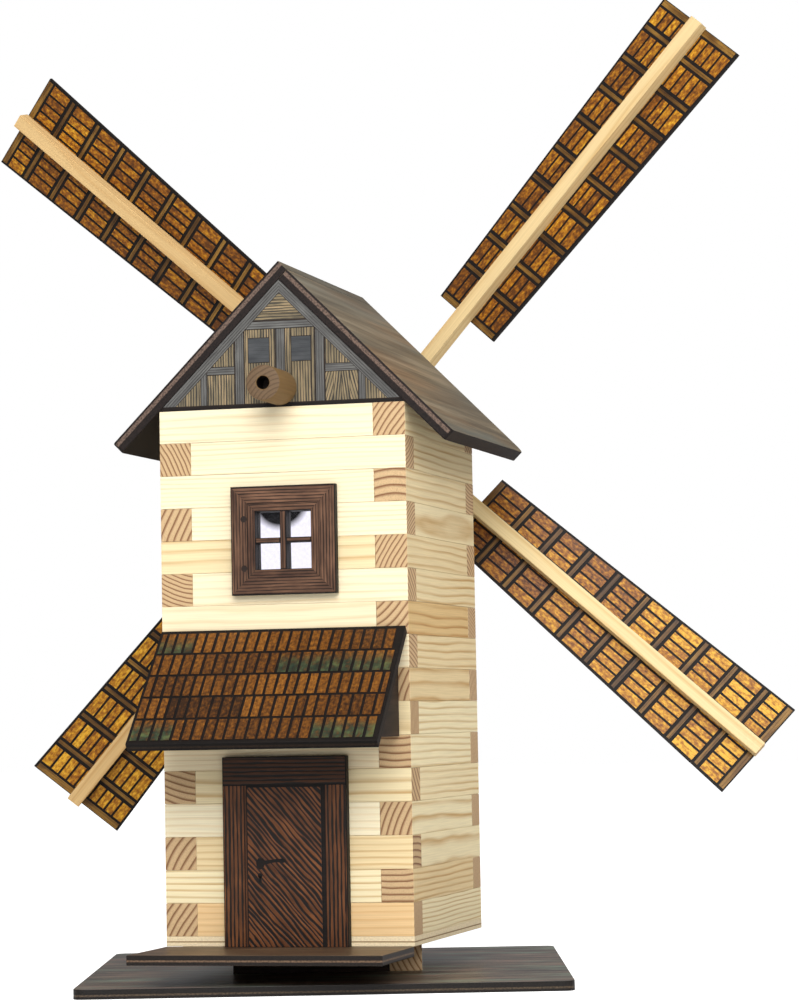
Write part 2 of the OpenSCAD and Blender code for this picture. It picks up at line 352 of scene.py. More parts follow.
def axes(origin, x_axis, z_axis):
    """The place of a small space: its origin in metres, its X and its Z direction."""
    x_axis, z_axis = Vector(x_axis).normalized(), Vector(z_axis).normalized()
    turned_to = Matrix((x_axis, z_axis.cross(x_axis), z_axis)).transposed().to_4x4()
    return Matrix.Translation(origin) @ turned_to @ Matrix.Scale(MM, 4)


def clip(outline, point, normal):
    """Cuts an outline with a straight line and keeps the part the normal points away from."""
    kept = []
    for a, b in zip(outline, outline[1:] + outline[:1]):
        da = (a[0] - point[0]) * normal[0] + (a[1] - point[1]) * normal[1]
        db = (b[0] - point[0]) * normal[0] + (b[1] - point[1]) * normal[1]
        if da <= 0:
            kept.append(a)
        if da * db < 0:
            t = da / (da - db)
            kept.append((a[0] + t * (b[0] - a[0]), a[1] + t * (b[1] - a[1])))
    return kept


def oblong(x0, x1, y0, y1):
    return [(x0, y0), (x1, y0), (x1, y1), (x0, y1)]


def rounded(x0, x1, y0, y1, radii, steps=6):
    """An oblong with its own radius at each corner, counter-clockwise from low X, low Y."""
    centres = [(x0, y0, 1, 1), (x1, y0, -1, 1), (x1, y1, -1, -1), (x0, y1, 1, -1)]
    made = []
    for k, ((x, y, sx, sy), r) in enumerate(zip(centres, radii)):
        for i in range(steps + 1):
            a = math.pi * (1 + k / 2) + math.pi / 2 * i / steps
            made.append((x + sx * r + r * math.cos(a), y + sy * r + r * math.sin(a)))
    return made


def circle(radius, x=0.0, y=0.0, steps=48):
    return [(x + radius * math.cos(2 * math.pi * i / steps),
             y + radius * math.sin(2 * math.pi * i / steps)) for i in range(steps)]


print("mesh helpers ready")

# %% [markdown]
# ## Pine strip
# The logs, spars and foot are sawn pine, planed and lightly sanded, with no finish on it. Pale
# spring wood and narrow tan summer wood make the lines; they lie 1 to 2 mm apart. On the ends
# the same rings show much darker, because the cut fibres soak up light. The rings here are
# distances from the tree's middle, bent a little by noise, so faces and ends agree.

# %% Pine
def pattern_space(tree, scale):
    """The grain place, stretched: small numbers along an axis make long marks."""
    place = add(tree, "ShaderNodeAttribute", attribute_name="grain")
    return add(tree, "ShaderNodeVectorMath", {0: place.outputs["Vector"], 1: scale},
               operation="MULTIPLY").outputs[0]


def soft_noise(tree, scale, detail=3.0):
    """A noise value from 0 to 1 whose marks are 1 / scale millimetres long on each axis."""
    return add(tree, "ShaderNodeTexNoise",
               {"Vector": pattern_space(tree, scale), "Scale": 1.0, "Detail": detail},
               noise_dimensions="3D").outputs["Fac"]


def wood_material(name):
    made = bpy.data.materials.new(name)
    made.use_nodes = True
    made.node_tree.nodes.clear()
    return made, made.node_tree


def close_material(tree, colour, height, roughness, bump_mm=0.05, coat=0.0):
    """Ends every wood: colour, relief from a 0 to 1 height, and a dry or satin surface."""
    relief = add(tree, "ShaderNodeBump",
                 {"Height": height, "Strength": 0.6, "Distance": bump_mm * MM})
    skin = add(tree, "ShaderNodeBsdfPrincipled",
               {"Base Color": colour, "Roughness": roughness, "Normal": relief.outputs[0],
                "IOR": 1.5, "Specular IOR Level": 0.22, "Coat Weight": coat,
                "Coat Roughness": 0.3})
    add(tree, "ShaderNodeOutputMaterial", {"Surface": skin.outputs[0]})


RING_BEND = 3.4


def growth_rings(tree, spacing):
    """Summer wood from 0 to 1: distance from the pith, bent along the stick, in steps."""
    bend = add(tree, "ShaderNodeTexNoise",
               {"Vector": pattern_space(tree, (0.013, 0.045, 0.045)), "Scale": 1.0,
                "Detail": 2.5})
    push = add(tree, "ShaderNodeVectorMath",
               {0: bend.outputs["Color"], 1: (0.5, 0.5, 0.5)}, operation="SUBTRACT")
    pushed = add(tree, "ShaderNodeVectorMath",
                 {0: push.outputs[0], 1: (0.0, RING_BEND, RING_BEND)}, operation="MULTIPLY")
    place = add(tree, "ShaderNodeVectorMath",
                {0: pattern_space(tree, (0.0, 1.0, 1.0)), 1: pushed.outputs[0]},
                operation="ADD")
    radius = add(tree, "ShaderNodeVectorMath", {0: place.outputs[0]}, operation="LENGTH")
    turns = add(tree, "ShaderNodeMath", {0: radius.outputs["Value"], 1: spacing},
                operation="DIVIDE")
    share = add(tree, "ShaderNodeMath", {0: turns.outputs[0]}, operation="FRACT")
    return add(tree, "ShaderNodeValToRGB", {"Fac": share.outputs[0]},
               stops=[(0.0, "#404040"), (0.12, "#000000"), (0.5, "#161616"),
                      (0.84, "#FFFFFF"), (1.0, "#404040")]).outputs["Color"]


def pine(name, early, late, end_early, end_late, ruddy, line_strength, spacing):
    made, tree = wood_material(name)
    rings = growth_rings(tree, spacing)
    patch = soft_noise(tree, (0.012, 0.16, 0.16))
    firmness = add(tree, "ShaderNodeMapRange",
                   {"Value": patch, "From Min": 0.3, "From Max": 0.7,
                    "To Min": line_strength * 0.25, "To Max": line_strength})
    fade = add(tree, "ShaderNodeMath", {0: firmness.outputs[0], 1: rings},
               operation="MULTIPLY")
    face = add(tree, "ShaderNodeMix",
               {0: fade.outputs[0], 6: linear(early), 7: linear(late)},
               data_type="RGBA").outputs[2]
    ruddier = add(tree, "ShaderNodeMix", {0: 1.0, 6: face, 7: linear(ruddy)},
                  data_type="RGBA", blend_type="MULTIPLY")
    shade = add(tree, "ShaderNodeAttribute", attribute_name="tint")
    face = add(tree, "ShaderNodeMix",
               {0: shade.outputs["Fac"], 6: face, 7: ruddier.outputs[2]},
               data_type="RGBA").outputs[2]
    end = add(tree, "ShaderNodeMix",
              {0: rings, 6: linear(end_early), 7: linear(end_late)},
              data_type="RGBA").outputs[2]
    fibres = soft_noise(tree, (0.05, 3.5, 3.5))
    pores = soft_noise(tree, (5.0, 5.0, 5.0), 2.0)
    open_pores = add(tree, "ShaderNodeMapRange",
                     {"Value": pores, "From Min": 0.5, "From Max": 0.75,
                      "To Min": 0.0, "To Max": 0.35})
    end = add(tree, "ShaderNodeMix",
              {0: open_pores.outputs[0], 6: end, 7: linear(end_late)},
              data_type="RGBA").outputs[2]
    on_end = add(tree, "ShaderNodeAttribute", attribute_name="edge")
    colour = add(tree, "ShaderNodeMix", {0: on_end.outputs["Fac"], 6: face, 7: end},
                 data_type="RGBA").outputs[2]
    streak = add(tree, "ShaderNodeMapRange",
                 {"Value": fibres, "From Min": 0.3, "From Max": 0.7,
                  "To Min": 0.9, "To Max": 1.05})
    colour = add(tree, "ShaderNodeMix", {0: 1.0, 6: colour, 7: streak.outputs[0]},
                 data_type="RGBA", blend_type="MULTIPLY").outputs[2]
    height = add(tree, "ShaderNodeMath", {0: fibres, 1: rings}, operation="ADD")
    close_material(tree, colour, height.outputs[0], 0.62)
    return made


log_pine = pine("planed_pine_log", "#F3E7C6", "#D6B47A", "#CFB088", "#7C5330",
                "#EBC9A0", 0.62, 1.3)
side_pine = pine("planed_pine_flat_sawn", "#EEDFB6", "#B98C49", "#CBAC82", "#74492C",
                 "#E6CBA6", 0.95, 1.9)
spar_pine = pine("planed_pine_spar", "#E1CA98", "#C49C60", "#D0AF7F", "#9B6E40",
                 "#E6C193", 0.75, 1.9)
print("pine materials:", log_pine.name, side_pine.name, spar_pine.name)

# %% [markdown]
# ## Stained plywood
# The base, porch and roof are birch plywood with a dark water stain, so grain and glue lines
# show through it. On the sawn edges the middle ply stays lighter than the two outer ones.
# The `layer` attribute draws those plies, and long thin noise draws the stain in the grain.

# %% Plywood
def ply_edge(tree, outer, core, core_from, core_to, speck):
    """The stripes on a board's edge, with the dark specks of broken fibres."""
    blur = 0.04
    layer = add(tree, "ShaderNodeAttribute", attribute_name="layer")
    stripes = add(tree, "ShaderNodeValToRGB", {"Fac": layer.outputs["Fac"]},
                  stops=[(0.0, outer), (core_from - blur, outer), (core_from, core),
                         (core_to, core), (core_to + blur, outer)])
    specks = soft_noise(tree, (1.6, 1.6, 2.5), 4.0)
    dark = add(tree, "ShaderNodeMapRange",
               {"Value": specks, "From Min": 0.42, "From Max": 0.62,
                "To Min": 1.0 + speck * 0.25, "To Max": 1.0 - speck})
    return add(tree, "ShaderNodeMix",
               {0: 1.0, 6: stripes.outputs["Color"], 7: dark.outputs[0]},
               data_type="RGBA", blend_type="MULTIPLY").outputs[2]


def stained_ply(name, stains, edge_outer, edge_core, patches, roughness, coat=0.0,
                core=(0.36, 0.6), patch_scale=(0.03, 0.12, 0.1), patch_share=0.45,
                speck=0.5, streak=(0.045, 0.55, 0.55), underside=None):
    """Stains are the ramp under the grain; patches are coloured washes laid over it."""
    made, tree = wood_material(name)
    streaks = soft_noise(tree, streak, 5.0)
    face = add(tree, "ShaderNodeValToRGB", {"Fac": streaks},
               stops=[(0.3 + 0.4 * i / (len(stains) - 1), s)
                      for i, s in enumerate(stains)]).outputs["Color"]
    for number, colour in enumerate(patches):
        moved = add(tree, "ShaderNodeVectorMath",
                    {0: pattern_space(tree, patch_scale), 1: (7.3 * number, 3.1, 1.7)},
                    operation="ADD")
        cloud = add(tree, "ShaderNodeTexNoise",
                    {"Vector": moved.outputs[0], "Scale": 1.0, "Detail": 3.0})
        where = add(tree, "ShaderNodeMapRange",
                    {"Value": cloud.outputs["Fac"], "From Min": 0.5, "From Max": 0.68,
                     "To Min": 0.0, "To Max": patch_share})
        face = add(tree, "ShaderNodeMix",
                   {0: where.outputs[0], 6: face, 7: linear(colour)},
                   data_type="RGBA").outputs[2]
    lines = soft_noise(tree, (0.03, 2.2, 2.2), 2.0)
    drawn = add(tree, "ShaderNodeMapRange",
                {"Value": lines, "From Min": 0.38, "From Max": 0.5,
                 "To Min": 0.8, "To Max": 1.0})
    face = add(tree, "ShaderNodeMix", {0: 1.0, 6: face, 7: drawn.outputs[0]},
               data_type="RGBA", blend_type="MULTIPLY").outputs[2]
    # The underside colour is painted shade: the lower face, at layer 0, takes it.
    if underside:
        layer = add(tree, "ShaderNodeAttribute", attribute_name="layer")
        face = add(tree, "ShaderNodeMix",
                   {0: layer.outputs["Fac"], 6: linear(underside), 7: face},
                   data_type="RGBA").outputs[2]
    edge = ply_edge(tree, edge_outer, edge_core, *core, speck)
    on_edge = add(tree, "ShaderNodeAttribute", attribute_name="edge")
    colour = add(tree, "ShaderNodeMix", {0: on_edge.outputs["Fac"], 6: face, 7: edge},
                 data_type="RGBA").outputs[2]
    close_material(tree, colour, lines, roughness, 0.04, coat)
    return made


base_ply = stained_ply("walnut_stained_birch_ply", ["#382D26", "#56493F", "#706250"],
                       "#17110D", "#4E4031", ["#7A8E7C", "#8E7062", "#241D18"], 0.42, 0.2,
                       core=(0.3, 0.44), speck=0.6, patch_share=0.75)
porch_ply = stained_ply("brown_stained_birch_ply", ["#36271C", "#56412F", "#785D43"],
                        "#1B130E", "#6A5340", ["#2A1F18", "#6C5842"], 0.45, 0.15,
                        core=(0.36, 0.5))
# The roof's underside colour is painted shade under the eaves.
roof_ply = stained_ply("weathered_stain_roof_ply", ["#625644", "#7C6E58", "#978870"],
                       "#1E1512", "#68554A", ["#A0754C", "#667470", "#585042"], 0.6, 0.0,
                       core=(0.54, 0.8), patch_scale=(0.007, 0.07, 0.05), speck=0.6,
                       streak=(0.012, 0.3, 0.3), underside="#1C1613")
dark_ply = stained_ply("burnt_dark_ply", ["#1A1310", "#2A1F19", "#3A2B22"],
                       "#15100D", "#2E221A", ["#241A15"], 0.6)
bare_ply = stained_ply("bare_birch_ply", ["#D9C296", "#E6D2A8", "#EEDDB8"],
                       "#E7D4AF", "#8E7048", ["#E9D3A4"], 0.6, 0.0, core=(0.42, 0.5),
                       speck=0.12)
print("ply materials:", [m.name for m in (base_ply, porch_ply, roof_ply, dark_ply, bare_ply)])

# %% [markdown]
# ## Burnt drawing
# The drawing is burnt into the ply: what isn't burnt stands a tenth of a millimetre proud. So
# each slat, tile or plank is a thin plate of stained wood on a charred ground. Within a plate,
# finer strokes follow the fibres. They are lines about a millimetre apart that a slow noise
# pushes about, as a hand does.

# %% Burnt and stained surfaces
def strokes(tree, spacing, share, wobble_mm):
    """0 to 1 marks along X: 1 in a burnt stroke. Share is how much of the space is burnt."""
    drift = soft_noise(tree, (0.05, 0.22, 0.22), 2.0)
    pushed = add(tree, "ShaderNodeMath", {0: drift, 1: wobble_mm}, operation="MULTIPLY")
    across = add(tree, "ShaderNodeSeparateXYZ", {0: pattern_space(tree, (1, 1, 1))})
    total = add(tree, "ShaderNodeMath", {0: across.outputs["Y"], 1: pushed.outputs[0]},
                operation="ADD")
    turns = add(tree, "ShaderNodeMath", {0: total.outputs[0], 1: spacing},
                operation="DIVIDE")
    there_and_back = add(tree, "ShaderNodeMath", {0: turns.outputs[0], 1: 0.5},
                         operation="PINGPONG")
    uneven = soft_noise(tree, (0.12, 0.9, 0.9), 2.0)
    limit = add(tree, "ShaderNodeMapRange",
                {"Value": uneven, "From Min": 0.3, "From Max": 0.7,
                 "To Min": 0.5 - share * 0.8, "To Max": 0.5 - share * 0.2})
    edge = add(tree, "ShaderNodeMath",
               {0: there_and_back.outputs[0], 1: limit.outputs[0]}, operation="SUBTRACT")
    return add(tree, "ShaderNodeMapRange",
               {"Value": edge.outputs[0], "From Min": -0.05, "From Max": 0.07,
                "To Min": 0.0, "To Max": 1.0}).outputs[0]


def drawn_wood(name, grounds, burn, spacing, share, wobble_mm, roughness=0.55, coat=0.0,
               mottle=(0.12, 0.5, 0.5)):
    made, tree = wood_material(name)
    cloud = soft_noise(tree, mottle, 4.0)
    shade = add(tree, "ShaderNodeAttribute", attribute_name="tint")
    lifted = add(tree, "ShaderNodeMath", {0: cloud, 1: shade.outputs["Fac"]},
                 operation="ADD")
    ground = add(tree, "ShaderNodeValToRGB", {"Fac": lifted.outputs[0]},
                 stops=[(0.25 + 0.5 * i / (len(grounds) - 1), g)
                        for i, g in enumerate(grounds)]).outputs["Color"]
    marks = strokes(tree, spacing, share, wobble_mm)
    face = add(tree, "ShaderNodeMix", {0: marks, 6: ground, 7: linear(burn)},
               data_type="RGBA").outputs[2]
    grown = add(tree, "ShaderNodeAttribute", attribute_name="moss")
    green = add(tree, "ShaderNodeMapRange",
                {"Value": grown.outputs["Fac"], "From Min": 0.15, "From Max": 0.65,
                 "To Min": 0.0, "To Max": 0.95})
    patchy = add(tree, "ShaderNodeMapRange",
                 {"Value": soft_noise(tree, (0.7, 0.7, 0.7)), "From Min": 0.3,
                  "From Max": 0.55, "To Min": 0.6, "To Max": 1.0})
    growth = add(tree, "ShaderNodeMath", {0: green.outputs[0], 1: patchy.outputs[0]},
                 operation="MULTIPLY")
    moss = add(tree, "ShaderNodeValToRGB", {"Fac": soft_noise(tree, (0.35, 0.35, 0.35))},
               stops=[(0.35, "#17261F"), (0.5, "#2B3B2B"), (0.68, "#55603A")])
    face = add(tree, "ShaderNodeMix",
               {0: growth.outputs[0], 6: face, 7: moss.outputs["Color"]},
               data_type="RGBA").outputs[2]
    on_edge = add(tree, "ShaderNodeAttribute", attribute_name="edge")
    colour = add(tree, "ShaderNodeMix", {0: on_edge.outputs["Fac"], 6: face, 7: linear(burn)},
                 data_type="RGBA").outputs[2]
    upward = add(tree, "ShaderNodeMath", {0: 1.0, 1: marks}, operation="SUBTRACT")
    close_material(tree, colour, upward.outputs[0], roughness, 0.06, coat)
    return made


char = stained_ply("charred_ground", ["#0B0705", "#110B08", "#18100C"], "#0D0806",
                   "#2A1F16", ["#130C08"], 0.6)
slat_wood = drawn_wood("amber_stained_slat", ["#56300C", "#875010", "#B47A18", "#DDA830"],
                       "#3F230B", 1.3, 0.03, 0.6, 0.45, 0.08, (0.75, 1.1, 1.1))
batten_wood = drawn_wood("brown_stained_batten", ["#3F2810", "#64441A", "#8E682B"],
                         "#2A190B", 0.9, 0.1, 0.3, 0.45, 0.08)
tile_wood = drawn_wood("ochre_stained_tile", ["#2F1A08", "#54300D", "#764714", "#945F20"],
                       "#2C1A0A", 1.6, 0.03, 0.5, 0.45, 0.08, (0.8, 1.0, 1.0))
beam_wood = drawn_wood("blue_grey_limed_beam", ["#4A4948", "#5B5A58", "#6D6C69"],
                       "#2F2D2A", 0.75, 0.22, 0.35)
plank_wood = drawn_wood("weathered_plank", ["#5A5142", "#7D6F55", "#A08A69"],
                        "#35332F", 0.85, 0.38, 0.9)
shutter_wood = drawn_wood("slate_stained_shutter", ["#35373A", "#424446", "#505153"],
                          "#2C2D2F", 1.2, 0.05, 0.4)
frame_wood = drawn_wood("burnt_brown_frame", ["#422B20", "#5E4231", "#7A5843"],
                        "#21160F", 0.95, 0.3, 0.5)
door_wood = drawn_wood("burnt_door_plank", ["#43230F", "#62381B", "#7C4A26"],
                       "#110B08", 1.35, 0.52, 3.4, 0.45, 0.1)
jamb_wood = drawn_wood("burnt_door_post", ["#40230F", "#5C351A", "#744626"],
                       "#130C08", 1.25, 0.45, 0.45, 0.45, 0.1)
print("drawn woods:", len([m for m in bpy.data.materials if m.use_nodes]))

# %% [markdown]
# ## Stained dowel
# The knob and the spacer are beech dowel, stained and handled: the end grain takes more stain
# than the side, and the rim is rubbed round.

# %% Dowel
stained_dowel = pine("stained_beech_dowel", "#806743", "#63502F", "#6B5640", "#554230",
                     "#B89670", 0.5, 1.3)
print("dowel material:", stained_dowel.name)

# %% [markdown]
# ## Window film
# Behind the window is a scrap of silvered film. It mirrors the white room, with a faint
# lilac cast. Metal this thin never lies flat, so the mesh is dished a little.

# %% Film
film = bpy.data.materials.new("silvered_film")
film.use_nodes = True
film_tree = film.node_tree
film_tree.nodes.clear()
place_in_metres = add(film_tree, "ShaderNodeTexCoord")
dust = add(film_tree, "ShaderNodeTexNoise",
           {"Vector": place_in_metres.outputs["Object"], "Scale": 900.0, "Detail": 3.0})
haze = add(film_tree, "ShaderNodeMapRange",
           {"Value": dust.outputs["Fac"], "From Min": 0.4, "From Max": 0.75,
            "To Min": 0.97, "To Max": 1.0})
wash = add(film_tree, "ShaderNodeValToRGB", {"Fac": dust.outputs["Fac"]},
           stops=[(0.35, "#E6E4EC"), (0.65, "#EBE9F1")])
mirror = add(film_tree, "ShaderNodeBsdfPrincipled",
             {"Base Color": wash.outputs["Color"], "Metallic": 1.0, "Roughness": 0.0})
cloudy = add(film_tree, "ShaderNodeBsdfPrincipled",
             {"Base Color": wash.outputs["Color"], "Metallic": 1.0, "Roughness": 0.35})
both = add(film_tree, "ShaderNodeMixShader",
           {0: haze.outputs[0], 1: cloudy.outputs[0], 2: mirror.outputs[0]})
add(film_tree, "ShaderNodeOutputMaterial", {"Surface": both.outputs[0]})
print("film ready")

# %% [markdown]
# ## Base board and foot
# The base is a rounded square of 3 mm ply, turned against the tower, with the post glued in
# it. The foot is a ring of four short sticks that carries the floor board.

# %% Base body
BASE_TURN = math.radians(15)
BASE_CORNER = 3.0
post_low, post_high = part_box("swivel_post")
POST_R = (post_high.x - post_low.x) / 2 / MM
base_low, base_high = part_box("base_board")
base_middle = (base_low + base_high) / 2
BASE_SPAN = (base_high.x - base_low.x) / MM
# The turned square's box and its side differ by the turn and the rounded corners.
spread = math.cos(BASE_TURN) + math.sin(BASE_TURN)
BASE_SIDE = (BASE_SPAN + 2 * BASE_CORNER * (spread - 1)) / spread
BASE_T = (base_high.z - base_low.z) / MM
base_place = axes((base_middle.x, base_middle.y, 0),
                  (math.cos(BASE_TURN), math.sin(BASE_TURN), 0), (0, 0, 1))
post_in_base = base_place.inverted() @ Vector((0, 0, 0))

piece = new_piece()
h = BASE_SIDE / 2
slab(piece, rounded(-h, h, -h, h, [BASE_CORNER] * 4), 0, BASE_T, base_place,
     board_grain(), ease_by=0.8, hole=circle(POST_R, post_in_base.x, post_in_base.y))
finish_piece(piece, "base_board_stained", [base_ply], "base", "stained_ply", "base_board")


def ring_of_sticks(target, w, d, stick_w, height, centre, tints, slots, turn=0.0,
                   mirrored=False, ease_by=0.2, shrink=0.0, grains=None):
    """Four sticks laid end to side, as in a log course or the foot frame."""
    half_w = stick_w / 2
    runs = [((1, 0, 0), -half_w, -d / 2 + half_w, w - stick_w),
            ((0, 1, 0), w / 2 - half_w, -half_w, d - stick_w),
            ((1, 0, 0), half_w, d / 2 - half_w, w - stick_w),
            ((0, 1, 0), -w / 2 + half_w, half_w, d - stick_w)]
    spin = Matrix.Rotation(turn, 4, "Z")
    for number, (along, x, y, length) in enumerate(runs):
        if mirrored:
            x = -x
        origin = Vector(centre) + spin @ Vector((x * MM, y * MM, 0))
        place = axes(origin, spin @ Vector(along), (0, 0, 1))
        cut = random.uniform(0, shrink)
        stick(target, (length - cut * 0.5, stick_w - cut, height - cut), place,
              grains[number] if grains else sawn_grain(random.uniform(0.8, 1.35)),
              slots[number], tints[number], ease_by)


FOOT_W, FOOT_D, FOOT_STICK = 58.0, 40.0, 10.0
foot_low, foot_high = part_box("foot_frame")
piece = new_piece()
# The front stick takes the near-black ply, slot 1: painted shade under the porch board.
ring_of_sticks(piece, FOOT_W, FOOT_D, FOOT_STICK, (foot_high.z - foot_low.z) / MM,
               (0, 0, (foot_low.z + foot_high.z) / 2), [0.3] * 4, (1, 0, 0, 0), BASE_TURN)
finish_piece(piece, "foot_sticks", [log_pine, dark_ply], "base", "bare_wood", "foot_frame")

LAID_UP = (0, 0, 1)
piece = new_piece()
post_h = (post_high.z - post_low.z) / MM
turned(piece, [(0, 0), (0, POST_R), (post_h - 0.6, POST_R), (post_h, POST_R - 0.6),
               (post_h, 0)], axes((0, 0, 0), LAID_UP, (1, 0, 0)), sawn_grain(1.2, (1, 4)))
finish_piece(piece, "swivel_post_dowel", [spar_pine], "base", "bare_wood", "swivel_post")

ring_low, ring_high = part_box("retaining_ring")
RING_R = (ring_high.x - ring_low.x) / 2 / MM
RING_T = (ring_high.z - ring_low.z) / MM
piece = new_piece()
turned(piece, [(0, POST_R), (0, RING_R - 0.5), (0.5, RING_R), (RING_T - 0.5, RING_R),
               (RING_T, RING_R - 0.5), (RING_T, POST_R), (0, POST_R)],
       axes((0, 0, ring_low.z), LAID_UP, (1, 0, 0)), sawn_grain(1.2, (8, 14)))
finish_piece(piece, "retaining_ring_wood", [spar_pine], "base", "bare_wood",
             "retaining_ring")
print("base side in mm:", round(BASE_SIDE, 1), "post radius:", POST_R)

# %% [markdown]
# ## Floor board and log tower
# Sixteen courses of four sticks. Each stick is its own closed solid with eased edges and
# stands a few hundredths short of full size, so the joints show as fine dark lines. Every
# stick has its own place in the tree and its own shade; a few are much ruddier.

# %% Floor board and logs
floor_low, floor_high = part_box("floor_board")
piece = new_piece()
floor_middle = ((floor_low.x + floor_high.x) / 2, (floor_low.y + floor_high.y) / 2)
hx = (floor_high.x - floor_low.x) / 2 / MM
hy = (floor_high.y - floor_low.y) / 2 / MM
RUNNING_GAP = 0.08
slab(piece, oblong(-hx, hx, -hy, hy), 0, (floor_high.z - floor_low.z) / MM,
     axes((*floor_middle, floor_low.z), (1, 0, 0), (0, 0, 1)), board_grain(),
     ease_by=0.2, hole=circle(POST_R + RUNNING_GAP))
finish_piece(piece, "floor_board_ply", [bare_ply], "mill", "light_ply", "floor_board")

LOG_W = 10.0
FIGURED = (2, 3, 5, 7, 12)
RUDDY = {(10, 1): 0.8, (8, 1): 0.45, (2, 1): 0.5, (3, 0): 0.4, (1, 0): 0.8, (16, 3): 0.6,
         (6, 3): 0.8}
for number in range(1, 17):
    node_name = f"log_course_{number:02d}"
    low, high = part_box(node_name)
    middle = (low + high) / 2
    piece = new_piece()
    tints = [RUDDY.get((number, k), random.uniform(0.0, 0.35)) for k in range(4)]
    grains = [sawn_grain(random.uniform(0.75, 1.5)) for _ in range(4)]
    ring_of_sticks(piece, (high.x - low.x) / MM, (high.y - low.y) / MM, LOG_W,
                   (high.z - low.z) / MM, middle, tints, (int(number in FIGURED), 1, 0, 1),
                   mirrored=number % 2 == 1, ease_by=0.16, shrink=0.09, grains=grains)
    finish_piece(piece, f"logs_{number:02d}", [log_pine, side_pine], "mill", "log_wood",
                 node_name)
print("courses built: 16")

# %% [markdown]
# ## Roof boards
# Two 4 mm boards meet at a right angle; the left one laps over the right one's top edge.
# Their lower corners are rounded off, and the outer face carries a weathered wash of
# greys, ochre and a little blue-green. Underneath they are painted almost black: painted shade
# under the eaves.

# %% Roof
ROOF_PITCH = math.radians(45)
ROOF_T = 4.0
RIDGE_CORNER, FRONT_CORNER, REAR_CORNER = 0.3, 1.2, 4.0
for side, name in ((-1, "roof_board_left"), (1, "roof_board_right")):
    low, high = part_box(name)
    outward = Vector((side * math.sin(ROOF_PITCH), 0, math.cos(ROOF_PITCH)))
    length = (high.y - low.y) / MM
    slope = ((high.z - low.z) / MM - ROOF_T * math.cos(ROOF_PITCH)) / math.sin(ROOF_PITCH)
    if side < 0:
        # The apex of the outer face lies over the ridge line, at x = 0.
        origin = Vector((0, low.y, high.z)) - outward * ROOF_T * MM
        x_axis = (0, 1, 0)
        corners = [RIDGE_CORNER, RIDGE_CORNER, REAR_CORNER, FRONT_CORNER]
    else:
        # The upper corner of the outer face touches the left board's underside.
        origin = Vector((high.x - (slope * math.cos(ROOF_PITCH)) * MM, high.y,
                         high.z)) - outward * ROOF_T * MM
        x_axis = (0, -1, 0)
        corners = [RIDGE_CORNER, RIDGE_CORNER, FRONT_CORNER, REAR_CORNER]
    place = axes(origin, x_axis, outward)
    piece = new_piece()
    slab(piece, rounded(0, length, 0, slope, corners), 0, ROOF_T, place, board_grain(-1),
         ease_by=0.4, plain_sides=True)
    finish_piece(piece, name + "_stained", [roof_ply], "mill", "roof_ply", name)
    print(name, "slope length in mm:", round(slope, 2))

# %% [markdown]
# ## Gables
# The gable drawing is a timber frame: two rafters, a tie beam, three posts, short rails and
# studs in limed blue-grey, with weathered planks between and two dark shutters. Each member
# is a plate with its fibres along its length. The rear gable has the same drawing.

# %% Gables
PROUD = 0.15
SUNK = 0.03
RAFTER = 2.8
JOINT_LINE = 0.15
PLANK_DROP = 0.05


def plate(target, outline, top, place, fibres, slot, tint=0.0, moss=None):
    """A thin drawn member on a board, its face at height top."""
    if len(outline) > 2:
        slab(target, outline, top - PROUD - SUNK, top, place, board_grain(fibres), slot,
             tint, moss=moss)


